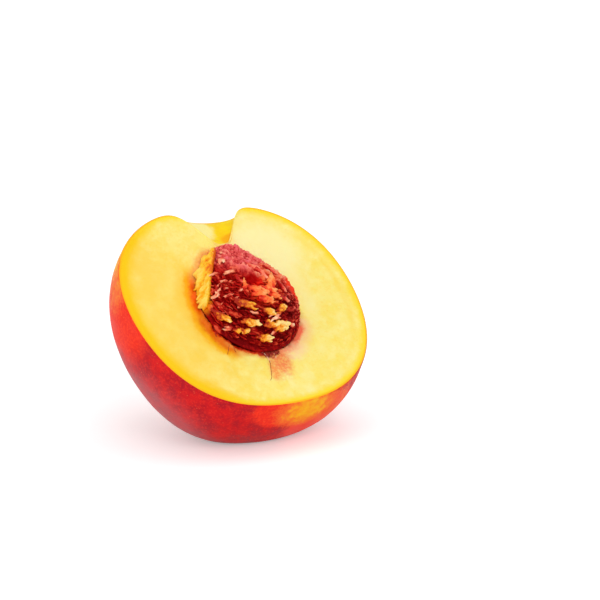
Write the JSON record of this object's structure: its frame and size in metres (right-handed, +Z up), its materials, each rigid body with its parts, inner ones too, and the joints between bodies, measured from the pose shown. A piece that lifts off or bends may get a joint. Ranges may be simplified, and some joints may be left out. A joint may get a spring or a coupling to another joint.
{
  "type": "peach half with stone",
  "caption": "Half peach cut through the stem end, its furrowed stone left in the flesh, resting on a small flat spot on its cheek.",
  "frame": {"origin": "centre of the small flat spot that the half rests on", "axes": "+Z up from the surface it rests on; the cut face looks up and towards -Y, turned a little to +X; +X to the right across the half"},
  "size_m": [0.0723, 0.0637, 0.0602],
  "materials": {
    "skin_and_flesh": "satin",
    "stone": "matte"
  },
  "bodies": {
    "root": {"peach_half": "skin_and_flesh", "stone": "stone"}
  },
  "joints": []
}
